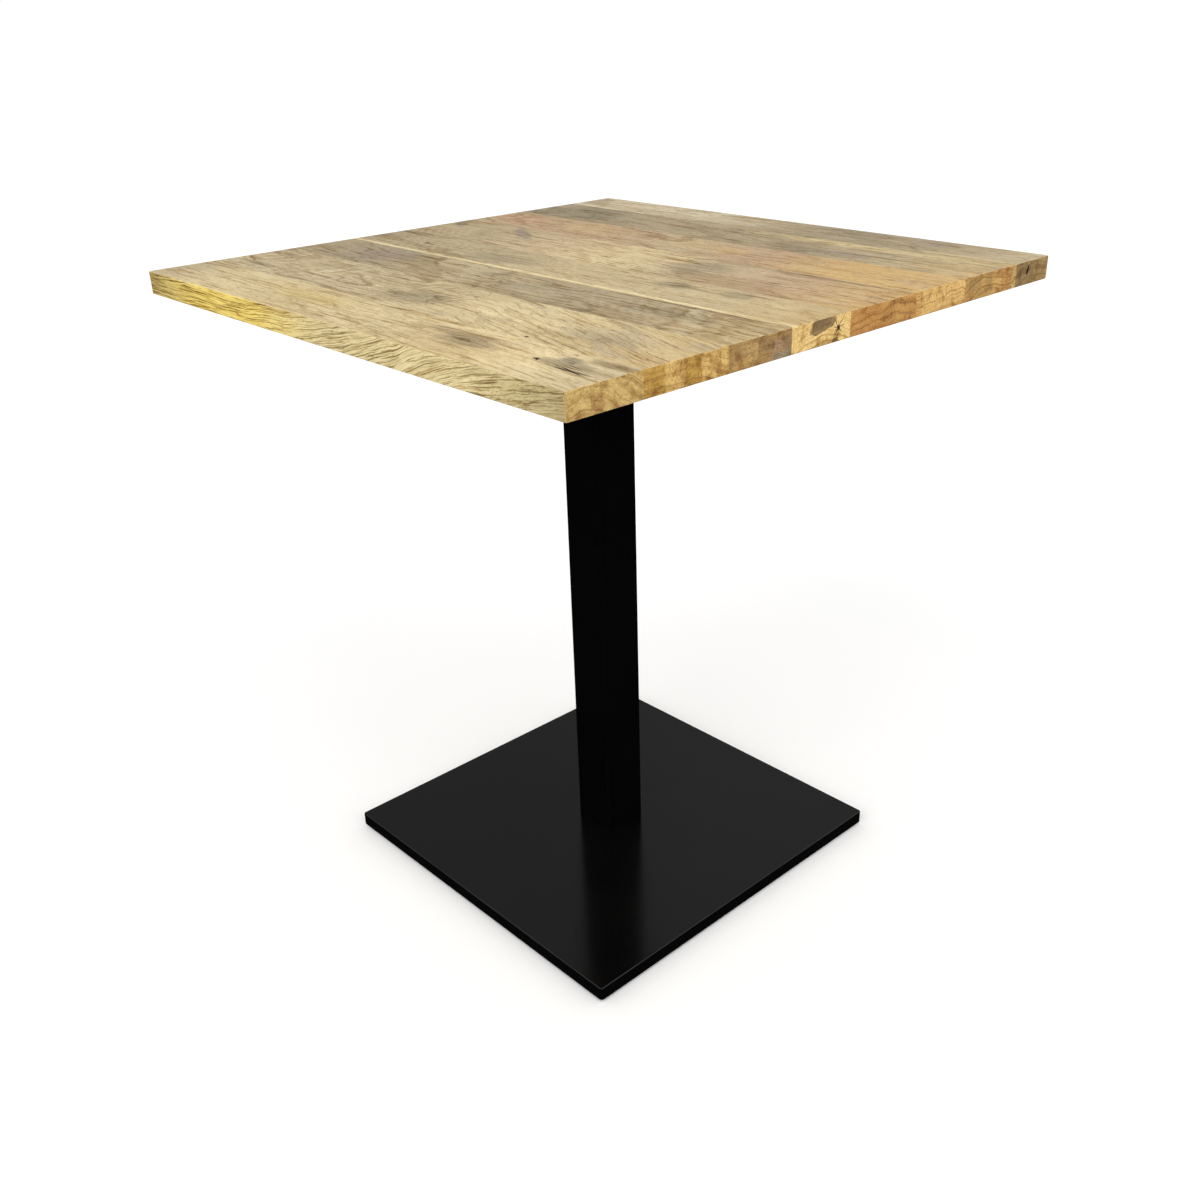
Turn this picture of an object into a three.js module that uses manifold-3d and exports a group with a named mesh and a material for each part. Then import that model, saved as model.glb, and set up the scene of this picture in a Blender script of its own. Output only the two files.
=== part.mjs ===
// Square bistro table: a solid wood top of eight glued staves, a cast spider under it, a square
// steel column, and a flat weighted base on four levelling glides. One tie rod clamps the spider,
// the column and the base together.
// Millimetres, +Z up. The origin is on the floor under the middle of the column, and the grain of
// the top runs along X.

import * as THREE from 'three';
import { mergeVertices } from 'three/addons/utils/BufferGeometryUtils.js';
import Module from 'manifold-3d';

// Tabletop
const tableHeight = 750;
const topSize = 700;
const topThickness = 25;
const topCornerRadius = 3;
const topEdgeRadius = 1.5;
const staveWidths = [82, 100, 82, 84, 104, 85, 90, 73];

// Column
const columnSize = 60;
const columnWall = 2;
const columnCornerRadius = 3;

// Base: a sheet-steel cover over a cast ballast plate
const baseSize = 480;
const baseTop = 20;
const coverRimBottom = 3;
const coverWall = 2;
const coverCornerRadius = 4;
const coverEdgeRadius = 1.6;
const ballastThickness = 10;
const ballastGap = 2;

// Square spigots that locate the column tube, with their play in the tube
const spigotPlay = 0.7;
const spigotHeight = 6;
const coverOpeningPlay = 0.4;

// Spider
const hubSize = 76;
const hubHeight = 22;
const hubPocketRadius = 17;
const hubPocketFloor = 8;
const armLength = 205;
const armWidth = 32;
const armThickness = 6;
const armTaperEnd = 84;
const screwOffsets = [70, 130];

// Wood screws
const screwRadius = 2.4;
const screwLength = 22.5;
const screwHeadRadius = 4.6;
const screwHeadHeight = 3;
const screwHoleRadius = 2.95;
const pilotRadius = 2.75;
const pilotDepth = 18;
const driveRecess = { length: 4.6, width: 1.1, depth: 1.5 };

// Tie rod with a nut and washer at each end
const rodRadius = 4.9;
const rodHoleRadius = 5.6;
const nutHoleRadius = 5.25;
const nutAcrossFlats = 17;
const nutHeight = 8;
const washerRadius = 10.5;
const washerThickness = 2;
const rodOverhang = 1.8;
const ballastRecessRadius = 19;
const ballastRecessDepth = 6;

// Levelling glides
const glideInset = 40;
const padRadius = 17;
const padHeight = 4;
const padEdgeRadius = 1;
const padSocketRadius = 4.5;
const padSocketFloor = 1.5;
const stemRadius = 3.95;
const stemHoleRadius = 4.3;
const stemTopGap = 0.5;
const collarAcrossFlats = 13;
const runningGap = 0.3;

// Smoothness of the facets
const cornerSegments = 3;
const roundSides = 24;
const screwSides = 16;

// Heights worked out from the sizes above
const topUnderside = tableHeight - topThickness;
const hubBottom = topUnderside - hubHeight;
const coverUnderside = baseTop - coverWall;
const ballastBottom = coverUnderside - ballastThickness;
const spigotHalf = columnSize / 2 - columnWall - spigotPlay;
const glideOffset = baseSize / 2 - glideInset;

const finishes = {
  wood: { color: 0xa98550, roughness: 0.45, metalness: 0 },
  wood_dark: { color: 0x6f5f4a, roughness: 0.45, metalness: 0 },
  black_powder_coat: { color: 0x222425, roughness: 0.55, metalness: 0.2 },
  cast_iron: { color: 0x3a3a3b, roughness: 0.8, metalness: 0.4 },
  zinc: { color: 0xb4b6b8, roughness: 0.35, metalness: 0.9 },
  black_nylon: { color: 0x161616, roughness: 0.6, metalness: 0 },
};

const wasm = await Module();
wasm.setup();

const table = new THREE.Group();

// A closed geometry as a solid that can be joined and cut.
function toSolid(geometry) {
  const bare = geometry.clone();
  bare.deleteAttribute('normal');
  bare.deleteAttribute('uv');
  const merged = mergeVertices(bare);
  return new wasm.Manifold(new wasm.Mesh({
    numProp: 3,
    vertProperties: merged.attributes.position.array,
    triVerts: merged.index.array,
  }));
}

// A solid as a geometry. Coordinates are rounded to a micrometre, so that faces which meet on one
// plane lie exactly on it.
function toGeometry(solid) {
  const mesh = solid.getMesh();
  const rounded = mesh.vertProperties.map((value) => Math.round(value * 1000) / 1000);
  const geometry = new THREE.BufferGeometry();
  geometry.setAttribute('position', new THREE.BufferAttribute(rounded, 3));
  geometry.setIndex(new THREE.BufferAttribute(mesh.triVerts, 1));
  geometry.computeVertexNormals();
  return geometry;
}

function addPart(name, geometry, finish) {
  const mesh = new THREE.Mesh(geometry, new THREE.MeshStandardMaterial(finishes[finish]));
  mesh.name = name;
  table.add(mesh);
  return mesh;
}

function roundedSquare(half, radius) {
  const shape = new THREE.Shape();
  const inner = half - radius;
  const quarter = Math.PI / 2;
  shape.moveTo(inner, -half);
  shape.absarc(inner, -inner, radius, -quarter, 0, false);
  shape.absarc(inner, inner, radius, 0, quarter, false);
  shape.absarc(-inner, inner, radius, quarter, 2 * quarter, false);
  shape.absarc(-inner, -inner, radius, 2 * quarter, 3 * quarter, false);
  return shape;
}

function polygon(radius, sides, turn = 0) {
  const points = [];
  for (let i = 0; i < sides; i += 1) {
    const angle = turn + (2 * Math.PI * i) / sides;
    points.push(new THREE.Vector2(radius * Math.cos(angle), radius * Math.sin(angle)));
  }
  return new THREE.Shape(points);
}

function hexagon(acrossFlats) {
  return polygon(acrossFlats / Math.sqrt(3), 6);
}

// An outline in plan, raised from one height to another.
function prism(shape, bottom, top) {
  const geometry = new THREE.ExtrudeGeometry(shape, {
    depth: top - bottom,
    bevelEnabled: false,
    curveSegments: cornerSegments,
  });
  return geometry.translate(0, 0, bottom);
}

function disc(radius, bottom, top, sides = roundSides) {
  return prism(polygon(radius, sides), bottom, top);
}

// A flat ring or nut: the outline with a round hole through it.
function ring(shape, holeRadius, bottom, top) {
  shape.holes.push(polygon(holeRadius, roundSides));
  return prism(shape, bottom, top);
}

// A square slab with rounded corners in plan and rounded edges above and below.
function softSlab(half, cornerRadius, edgeRadius, bottom, top) {
  const geometry = new THREE.ExtrudeGeometry(roundedSquare(half, cornerRadius), {
    depth: top - bottom - 2 * edgeRadius,
    bevelThickness: edgeRadius,
    bevelSize: edgeRadius,
    bevelOffset: -edgeRadius,
    bevelSegments: cornerSegments,
    curveSegments: cornerSegments,
  });
  return geometry.translate(0, 0, bottom + edgeRadius);
}

// A round piece about the Z axis, from its [radius, height] profile.
function turned(profile, sides = roundSides) {
  const points = profile.map(([radius, height]) => new THREE.Vector2(radius, height));
  return new THREE.LatheGeometry(points, sides).rotateX(Math.PI / 2);
}

// Places of the four glides and of the eight wood screws, in the four quarters of the plan.
const quarters = [[-1, -1], [1, -1], [1, 1], [-1, 1]];
const glidePlaces = quarters.map(([x, y]) => [x * glideOffset, y * glideOffset]);
const screwPlaces = quarters.flatMap(
  ([x, y]) => screwOffsets.map((offset) => [x * offset, y * offset]),
);

// Tabletop: one slab with softened edges, sawn lengthwise into its staves.
function addStaves() {
  const half = topSize / 2;
  const slab = toSolid(softSlab(half, topCornerRadius, topEdgeRadius, topUnderside, tableHeight));
  const pilots = screwPlaces.map(([x, y]) => {
    const hole = disc(pilotRadius, topUnderside - 1, topUnderside + pilotDepth, screwSides);
    return toSolid(hole.translate(x, y, 0));
  });
  let edge = -half;
  staveWidths.forEach((width, i) => {
    const blank = new THREE.BoxGeometry(topSize + 2, width, topThickness + 2);
    blank.translate(0, edge + width / 2, tableHeight - topThickness / 2);
    let stave = slab.intersect(toSolid(blank));
    screwPlaces.forEach(([, y], hole) => {
      if (y > edge && y < edge + width) {
        stave = stave.subtract(pilots[hole]);
      }
    });
    const finish = i % 4 === 2 ? 'wood_dark' : 'wood';
    addPart(`tabletop_stave_${i + 1}`, toGeometry(stave), finish);
    edge += width;
  });
}

// Spider: a square hub with a nut pocket, a spigot down into the column, and four diagonal arms.
function addSpider() {
  const flangeBottom = topUnderside - armThickness;
  const armProfile = new THREE.Shape([
    new THREE.Vector2(0, hubBottom),
    new THREE.Vector2(hubSize / 2, hubBottom),
    new THREE.Vector2(armTaperEnd, flangeBottom),
    new THREE.Vector2(armLength, flangeBottom),
    new THREE.Vector2(armLength, topUnderside),
    new THREE.Vector2(0, topUnderside),
  ]);
  let spider = toSolid(prism(roundedSquare(hubSize / 2, 6), hubBottom, topUnderside));
  const spigot = prism(roundedSquare(spigotHalf, 1.5), hubBottom - spigotHeight, hubBottom + 1);
  spider = spider.add(toSolid(spigot));
  quarters.forEach((_, i) => {
    const arm = new THREE.ExtrudeGeometry(armProfile, { depth: armWidth, bevelEnabled: false });
    arm.translate(0, 0, -armWidth / 2);
    arm.rotateX(Math.PI / 2);
    arm.rotateZ(Math.PI / 4 + (i * Math.PI) / 2);
    spider = spider.add(toSolid(arm));
  });
  const pocket = disc(hubPocketRadius, hubBottom + hubPocketFloor, topUnderside + 1);
  spider = spider.subtract(toSolid(pocket));
  const rodHole = disc(rodHoleRadius, hubBottom - spigotHeight - 1, topUnderside);
  spider = spider.subtract(toSolid(rodHole));
  screwPlaces.forEach(([x, y]) => {
    const hole = disc(screwHoleRadius, flangeBottom - 9, topUnderside + 1, screwSides);
    spider = spider.subtract(toSolid(hole.translate(x, y, 0)));
  });
  addPart('spider', toGeometry(spider), 'black_powder_coat');
}

// Pan-head wood screw with a cross recess, pointing up from under a spider arm.
function addScrews() {
  const seat = topUnderside - armThickness;
  const { length, width, depth } = driveRecess;
  const headBottom = seat - screwHeadHeight;
  let screw = toSolid(turned([
    [0, headBottom],
    [screwHeadRadius * 0.6, headBottom],
    [screwHeadRadius * 0.92, headBottom + 0.9],
    [screwHeadRadius, seat - 0.8],
    [screwHeadRadius, seat],
    [screwRadius, seat],
    [screwRadius, seat + screwLength - 4],
    [0, seat + screwLength],
  ], screwSides));
  [[length, width], [width, length]].forEach(([x, y]) => {
    const slot = new THREE.BoxGeometry(x, y, 2 * depth).translate(0, 0, headBottom);
    screw = screw.subtract(toSolid(slot));
  });
  screwPlaces.forEach(([x, y], i) => {
    const mesh = addPart(`wood_screw_${i + 1}`, toGeometry(screw), 'zinc');
    mesh.position.set(x, y, 0);
  });
}

// Square tube, standing on the cover and carrying the spider's hub.
function addColumn() {
  const half = columnSize / 2;
  const outline = roundedSquare(half, columnCornerRadius);
  outline.holes.push(roundedSquare(half - columnWall, columnCornerRadius - columnWall));
  addPart('column_tube', prism(outline, baseTop, hubBottom), 'black_powder_coat');
}

// Pressed cover: a shallow pan upside down, open below, with a square opening for the spigot.
function addCover() {
  const half = baseSize / 2;
  const outer = softSlab(half, coverCornerRadius, coverEdgeRadius, -baseTop, baseTop);
  const aboveRim = prism(roundedSquare(baseSize, 1), coverRimBottom, 2 * baseTop);
  const innerRadius = coverCornerRadius - coverWall;
  const hollow = prism(roundedSquare(half - coverWall, innerRadius), -baseTop, coverUnderside);
  const opening = prism(roundedSquare(spigotHalf + coverOpeningPlay, 1.5), 0, 2 * baseTop);
  const cover = toSolid(outer)
    .intersect(toSolid(aboveRim))
    .subtract(toSolid(hollow))
    .subtract(toSolid(opening));
  addPart('base_cover', toGeometry(cover), 'black_powder_coat');
}

// Ballast plate: flat casting with a spigot up into the column, a recess below for the tie rod's
// nut, and a tapped hole near each corner for a glide.
function addBallast() {
  const half = baseSize / 2 - coverWall - ballastGap;
  const rim = prism(roundedSquare(half, coverCornerRadius - coverWall), ballastBottom, coverUnderside);
  const spigotTop = baseTop + spigotHeight;
  const spigot = prism(roundedSquare(spigotHalf, 1.5), coverUnderside - 1, spigotTop);
  const recessTop = ballastBottom + ballastRecessDepth;
  const recess = disc(ballastRecessRadius, ballastBottom - 1, recessTop);
  let ballast = toSolid(rim)
    .add(toSolid(spigot))
    .subtract(toSolid(recess))
    .subtract(toSolid(disc(rodHoleRadius, 0, spigotTop + 1)));
  glidePlaces.forEach(([x, y]) => {
    const hole = disc(stemHoleRadius, 0, baseTop);
    ballast = ballast.subtract(toSolid(hole.translate(x, y, 0)));
  });
  addPart('ballast_plate', toGeometry(ballast), 'cast_iron');
}

// Tie rod from under the ballast plate to the spider's pocket, with its washers and nuts.
function addTieRod() {
  const washerTop = ballastBottom + ballastRecessDepth;
  const lowerNutTop = washerTop - washerThickness;
  const upperSeat = hubBottom + hubPocketFloor;
  const upperNutBottom = upperSeat + washerThickness;
  const rodBottom = lowerNutTop - nutHeight - 0.4;
  const rodTop = upperNutBottom + nutHeight + rodOverhang;
  addPart('tie_rod', disc(rodRadius, rodBottom, rodTop), 'zinc');
  const levels = [['lower', lowerNutTop, lowerNutTop - nutHeight], ['upper', upperSeat, upperNutBottom]];
  levels.forEach(([end, washerBottom, nutBottom]) => {
    const washerTopHere = washerBottom + washerThickness;
    const washer = ring(polygon(washerRadius, roundSides), nutHoleRadius, washerBottom, washerTopHere);
    const nut = ring(hexagon(nutAcrossFlats), nutHoleRadius, nutBottom, nutBottom + nutHeight);
    addPart(`tie_rod_${end}_washer`, washer, 'zinc');
    addPart(`tie_rod_${end}_nut`, nut, 'zinc');
  });
}

// Levelling glides: a threaded stem with a hexagon collar, swivelling in a nylon pad. At rest they
// are screwed right up under the ballast plate.
function addGlides() {
  const collarBottom = padHeight + runningGap;
  const stem = toSolid(disc(stemRadius, padSocketFloor + runningGap, coverUnderside - stemTopGap))
    .add(toSolid(prism(hexagon(collarAcrossFlats), collarBottom, ballastBottom - runningGap)));
  const edgeSlope = padEdgeRadius * (1 - Math.SQRT1_2);
  const pad = turned([
    [0, 0],
    [padRadius - padEdgeRadius, 0],
    [padRadius - edgeSlope, edgeSlope],
    [padRadius, padEdgeRadius],
    [padRadius, padHeight - padEdgeRadius],
    [padRadius - edgeSlope, padHeight - edgeSlope],
    [padRadius - padEdgeRadius, padHeight],
    [padSocketRadius, padHeight],
    [padSocketRadius, padSocketFloor],
    [0, padSocketFloor],
  ]);
  glidePlaces.forEach(([x, y], i) => {
    addPart(`glide_stem_${i + 1}`, toGeometry(stem), 'zinc').position.set(x, y, 0);
    addPart(`glide_pad_${i + 1}`, toGeometry(toSolid(pad)), 'black_nylon').position.set(x, y, 0);
  });
}

addStaves();
addSpider();
addScrews();
addColumn();
addCover();
addBallast();
addTieRod();
addGlides();

export default table;
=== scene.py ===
"""Looks of the square bistro table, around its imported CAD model.

Metres, +Z up. The grain of the top runs along X, and the origin is on the floor under the column.
"""
import math

import bmesh
import bpy
from mathutils import Matrix, Vector


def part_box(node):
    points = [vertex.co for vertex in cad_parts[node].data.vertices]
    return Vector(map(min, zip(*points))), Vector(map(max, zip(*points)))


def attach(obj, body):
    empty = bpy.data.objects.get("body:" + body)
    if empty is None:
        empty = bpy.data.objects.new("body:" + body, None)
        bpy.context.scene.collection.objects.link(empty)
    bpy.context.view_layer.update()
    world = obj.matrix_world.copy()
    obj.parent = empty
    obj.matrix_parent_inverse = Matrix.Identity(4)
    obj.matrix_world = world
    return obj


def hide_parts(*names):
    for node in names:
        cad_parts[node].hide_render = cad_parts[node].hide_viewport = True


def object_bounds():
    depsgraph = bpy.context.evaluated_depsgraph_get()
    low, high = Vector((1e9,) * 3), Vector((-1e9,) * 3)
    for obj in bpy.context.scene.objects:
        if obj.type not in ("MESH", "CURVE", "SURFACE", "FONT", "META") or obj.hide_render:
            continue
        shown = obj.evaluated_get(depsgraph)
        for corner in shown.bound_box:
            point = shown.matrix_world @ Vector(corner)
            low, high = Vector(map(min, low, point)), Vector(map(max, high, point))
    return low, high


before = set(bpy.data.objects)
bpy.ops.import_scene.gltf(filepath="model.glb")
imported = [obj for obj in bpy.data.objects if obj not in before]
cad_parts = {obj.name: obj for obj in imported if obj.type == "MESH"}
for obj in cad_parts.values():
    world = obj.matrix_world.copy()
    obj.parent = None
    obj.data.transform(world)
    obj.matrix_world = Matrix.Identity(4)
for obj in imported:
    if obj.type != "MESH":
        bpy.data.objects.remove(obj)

CAD_LOW, CAD_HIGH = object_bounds()
LENGTH = CAD_HIGH[0] - CAD_LOW[0]
MM = 0.001
ROOT = "table_frame"
STAVES = 8
SCREWS = [f"wood_screw_{i + 1}" for i in range(8)]
GLIDES = 4

# ---- camera

CAMERA_TURN = math.radians(45)
CAMERA_SIDE = math.radians(2.84)
CAMERA_DISTANCE = 1.393
CAMERA_HEIGHT = 1.010
CAMERA_YAW = math.radians(1.97)
CAMERA_PITCH = math.radians(26.77)
CAMERA_ROLL = math.radians(1.39)
SENSOR_WIDTH = 36.0
FOCAL_LENGTH = 37.22
SHIFT = (-0.0181, 0.0191)


def add_object(name, data):
    made = bpy.data.objects.new(name, data)
    bpy.context.scene.collection.objects.link(made)
    return made


def add_camera():
    """The camera stands in front of the nearest corner, a little above the top, looking down."""
    data = bpy.data.cameras.new("camera")
    data.sensor_width = SENSOR_WIDTH
    data.lens = FOCAL_LENGTH
    data.shift_x, data.shift_y = SHIFT
    camera = add_object("camera", data)
    level = math.cos(CAMERA_PITCH)
    forward = Vector((-math.sin(CAMERA_YAW) * level, math.cos(CAMERA_YAW) * level, -math.sin(CAMERA_PITCH)))
    right = forward.cross(Vector((0, 0, 1))).normalized()
    up = right.cross(forward)
    axes = Matrix((right, up, -forward)).transposed().to_4x4()
    place = Vector((
        math.sin(CAMERA_SIDE) * CAMERA_DISTANCE,
        -math.cos(CAMERA_SIDE) * CAMERA_DISTANCE,
        CAMERA_HEIGHT,
    ))
    roll = Matrix.Rotation(-CAMERA_ROLL, 4, "Z")
    turn = Matrix.Rotation(CAMERA_TURN, 4, "Z")
    camera.matrix_world = turn @ Matrix.Translation(place) @ axes @ roll
    bpy.context.scene.camera = camera


# ---- shader helpers


def linear(red, green, blue):
    """A screen colour, 0 to 255, as the linear colour that a shader takes."""
    def convert(value):
        value /= 255
        return value / 12.92 if value <= 0.04045 else ((value + 0.055) / 1.055) ** 2.4
    return (convert(red), convert(green), convert(blue), 1.0)


class Nodes:
    """A node tree, with short ways to add nodes to it and join them."""

    def __init__(self, tree):
        self.tree = tree

    def put(self, socket, value):
        if isinstance(value, bpy.types.NodeSocket):
            self.tree.links.new(value, socket)
        elif value is not None:
            socket.default_value = value

    def node(self, kind, inputs=(), **settings):
        made = self.tree.nodes.new("ShaderNode" + kind)
        for key, value in settings.items():
            setattr(made, key, value)
        for key, value in dict(inputs).items():
            self.put(made.inputs[key], value)
        return made

    def math(self, operation, a, b=None, c=None):
        made = self.node("Math", operation=operation)
        for socket, value in zip(made.inputs, (a, b, c)):
            self.put(socket, value)
        return made.outputs[0]

    def add(self, a, b):
        return self.math("ADD", a, b)

    def times(self, a, b):
        return self.math("MULTIPLY", a, b)

    def scaled(self, value, factor, offset=0.0):
        return self.math("MULTIPLY_ADD", value, factor, offset)

    def vector(self, x, y, z):
        return self.node("CombineXYZ", {"X": x, "Y": y, "Z": z}).outputs[0]

    def parts(self, vector):
        return self.node("SeparateXYZ", {"Vector": vector}).outputs

    def step(self, value, low, high, start=0.0, end=1.0):
        """The start below low and the end above high, smooth between; low may be above high."""
        inputs = {"Value": value, "From Min": low, "From Max": high, "To Min": start, "To Max": end}
        return self.node("MapRange", inputs, interpolation_type="SMOOTHSTEP").outputs[0]

    def choose(self, factor, a, b):
        """The number a, or b where the factor is 1."""
        return self.node("Mix", {0: factor, 2: a, 3: b}).outputs[0]

    def noise(self, vector, detail=2.0, roughness=0.5):
        inputs = {"Vector": vector, "Scale": 1.0, "Detail": detail, "Roughness": roughness}
        return self.node("TexNoise", inputs).outputs

    def mix(self, factor, a, b, blend="MIX"):
        """The colour a, covered with b by the factor."""
        made = self.node("Mix", {0: factor, 6: a, 7: b}, data_type="RGBA", blend_type=blend)
        return made.outputs[2]

    def ramp(self, factor, colours):
        made = self.node("ValToRGB", {"Fac": factor})
        ramp = made.color_ramp
        last = len(colours) - 1
        while len(ramp.elements) < len(colours):
            ramp.elements.new(0.5)
        for i, colour in enumerate(colours):
            ramp.elements[i].position = i / last
            ramp.elements[i].color = colour
        return made.outputs["Color"]


class Shader(Nodes):
    """A material, patterned on the object's own coordinates."""

    def __init__(self, name):
        self.material = bpy.data.materials.new(name)
        self.material.use_nodes = True
        super().__init__(self.material.node_tree)
        self.surface = self.tree.nodes["Principled BSDF"]
        coordinates = self.node("TexCoord").outputs
        self.place, self.facing = coordinates["Object"], coordinates["Normal"]

    def grain(self, waves, detail=2.0, roughness=0.5):
        """Noise with this many waves in a metre, the same each way or along X, Y and Z."""
        if not isinstance(waves, tuple):
            waves = (waves, waves, waves)
        where = self.node("VectorMath", {0: self.place, 1: waves}, operation="MULTIPLY").outputs[0]
        return self.noise(where, detail, roughness)["Fac"]

    def clouded(self, pattern, colour, gain):
        """The colour, brighter by the gain where the pattern is strong."""
        bright = [value * gain for value in colour[:3]] + [1]
        return self.mix(self.step(pattern, 0.35, 0.7), colour, bright)

    def bump(self, height, distance, strength=1.0):
        inputs = {"Height": height, "Distance": distance, "Strength": strength}
        return self.node("Bump", inputs).outputs[0]

    def finish(self, **inputs):
        """Set the surface's own sockets, written with _ for the spaces in their names."""
        for key, value in inputs.items():
            self.put(self.surface.inputs[key.replace("_", " ")], value)
        return self.material


# ---- wood

GRAIN_LIFT = 1.11
PALETTE = {
    "grey_brown": (158, 146, 121),
    "brown": (172, 156, 126),
    "olive": (183, 167, 134),
    "beige": (191, 174, 141),
    "pink_tan": (189, 163, 131),
    "sand": (198, 180, 142),
    "straw": (207, 188, 143),
    "cream": (216, 198, 154),
    "honey": (202, 177, 129),
    "gold": (206, 174, 119),
    "salmon": (200, 158, 132),
    "yellow": (208, 186, 122),
    "ash": (140, 130, 108),
    "umber": (120, 100, 68),
    "dark": (74, 58, 38),
    "sapwood": (232, 214, 168),
    "rose": (203, 182, 147),
    "chalk": (206, 194, 166),
    "pale_sand": (203, 188, 155),
    "mauve": (158, 142, 128),
    "end_straw": (200, 170, 106),
    "end_gold": (188, 150, 72),
    "end_umber": (164, 132, 82),
    "end_cream": (232, 200, 130),
    "end_orange": (190, 140, 76),
    "end_amber": (218, 180, 110),
    "end_brown": (190, 152, 88),
    "end_grey": (146, 122, 80),
    # tones of the long edge; the gold one paints a patch of sunlight on it
    "edge_sunlit_gold": (228, 202, 106),
    "edge_pale": (213, 197, 147),
    "edge_dull": (172, 156, 110),
    "edge_umber": (172, 150, 92),
}


def tone(name):
    """A palette colour, lifted to make up for the darker grain that is laid over it."""
    red, green, blue, alpha = linear(*PALETTE[name])
    return (red * GRAIN_LIFT, green * GRAIN_LIFT, blue * GRAIN_LIFT, alpha)


# how the grain wanders: length, width and reach in mm, and the pattern's shift
DRIFTS = [(190, 60, 26, 1.0), (45, 16, 5, 2.0), (12, 6, 1.2, 3.0)]
KNOT_SPREAD = 0.85


class Wood(Shader):
    """One board. Its grain is a solid pattern, so the top, the edges and the end grain agree."""

    def __init__(self, name, number, board):
        super().__init__(name)
        self.board = board
        self.seed = 37.0 * number
        self.x, self.y, self.z = (self.times(part, 1 / MM) for part in self.parts(self.place))
        facing = self.parts(self.facing)
        self.end = self.step(self.math("ABSOLUTE", facing[0]), 0.55, 0.85)
        self.edge = self.step(self.math("ABSOLUTE", facing[1]), 0.55, 0.85)
        self.bend()
        self.along = self.scaled(self.x, MM / LENGTH, 0.5)
        self.radius = self.rings()
        self.growth = self.ring_noise(1.0, 2.5)
        self.streak = self.pattern(130, 3.2, 4.0, 3.5, 0.62)

    def solid(self, length, width, shift=0.0):
        """The bent place in the board, for features of this length and width in mm.

        The shift keeps one pattern apart from another.
        """
        along = self.scaled(self.x, 1 / length, self.seed + shift)
        return self.vector(along, self.times(self.across, 1 / width), self.times(self.depth, 1 / width))

    def pattern(self, length, width, shift=0.0, detail=2.0, roughness=0.5):
        return self.noise(self.solid(length, width, shift), detail, roughness)["Fac"]

    def bend(self):
        """Let the grain wander, and part round the knots."""
        slant = self.times(self.math("MAXIMUM", self.add(self.x, EDGE_SLANT_FROM), 0.0), EDGE_SLANT)
        start, lean = self.board["slant"]
        past = self.math("MAXIMUM", self.add(self.x, -start), 0.0)
        self.across = self.add(self.y, self.times(past, lean))
        self.depth = self.add(self.z, self.times(slant, self.edge))
        for length, width, reach, shift in DRIFTS:
            drift = self.parts(self.noise(self.solid(length, width, shift), detail=1.0)["Color"])
            self.across = self.scaled(drift[0], reach, self.add(self.across, -reach / 2))
            self.depth = self.scaled(drift[1], reach, self.add(self.depth, -reach / 2))
        for x, y, size, _ in self.board["knots"]:
            away = self.add(self.y, -y)
            along = self.scaled(self.x, 1 / (3.2 * size), -x / (3.2 * size))
            aside = self.times(away, 1 / (1.6 * size))
            near = self.math("EXPONENT", self.times(self.squares(along, aside), -1.0))
            self.across = self.add(self.across, self.times(self.times(away, near), -KNOT_SPREAD))

    def squares(self, a, b):
        return self.add(self.times(a, a), self.times(b, b))

    def rings(self):
        """Distance from a pith that runs under the board at a slight slope, in ring widths."""
        pith_y, pith_z, slope, spacing = self.board["pith"]
        rise = self.scaled(self.x, -slope, self.add(self.depth, -pith_z))
        aside = self.add(self.across, -pith_y)
        return self.times(self.math("SQRT", self.squares(rise, aside)), 1 / spacing)

    def ring_noise(self, finer, detail):
        """Noise that is drawn out along the rings, and this many times finer across them."""
        where = self.vector(self.times(self.radius, finer), self.scaled(self.x, 1 / 420, self.seed), finer)
        return self.noise(where, detail, 0.6)["Fac"]

    def darker(self, colour, pattern, low, high, amount, shade, blend="MULTIPLY"):
        """The colour times a shade, by the amount, as the pattern runs from low to high."""
        cover = self.times(self.step(pattern, low, high), amount)
        return self.mix(cover, colour, self.mix(1.0, colour, linear(*shade), blend))

    def lighter(self, *shading):
        """The same, with the shade screened over the colour."""
        return self.darker(*shading, blend="SCREEN")

    def oval(self, place, size, lean=0.0):
        """Distance from a place on the top, 1 on the rim of an oval of this half size."""
        along = self.scaled(self.x, 1 / size[0], -place[0] / size[0])
        level = self.scaled(self.x, -lean, lean * place[0])
        aside = self.scaled(self.add(self.y, level), 1 / size[1], -place[1] / size[1])
        return self.math("SQRT", self.squares(along, aside))

    def mark(self, colour, place, size, tone_name, strength, ragged=0.7, lean=0.0):
        """Stain an oval of the board, with an edge that follows the grain."""
        rough = self.pattern(min(size[0], 26), min(size[1], 7), 11.0, 3.0)
        distance = self.scaled(rough, 2 * ragged, self.add(self.oval(place, size, lean), -ragged))
        cover = self.times(self.step(distance, 1.15, 0.45), strength)
        return self.mix(cover, colour, tone(tone_name))

    def end_mark(self, colour, place, size, tone_name, strength, lean=0.0):
        """Stain a rounded block of the end grain, placed by Y and Z."""
        across = self.scaled(self.y, 1 / size[0], -place[0] / size[0])
        level = self.scaled(self.y, -lean, lean * place[0])
        up = self.scaled(self.add(self.z, level), 1 / size[1], -place[1] / size[1])
        fourths = [self.math("POWER", self.math("ABSOLUTE", part), 4.0) for part in (across, up)]
        reach = self.math("POWER", self.add(*fourths), 0.25)
        distance = self.scaled(self.pattern(10, 4, 12.0, 3.0), 0.5, self.add(reach, -0.25))
        cover = self.times(self.step(distance, 1.05, 0.9), strength)
        return self.mix(cover, colour, tone(tone_name))

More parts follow.
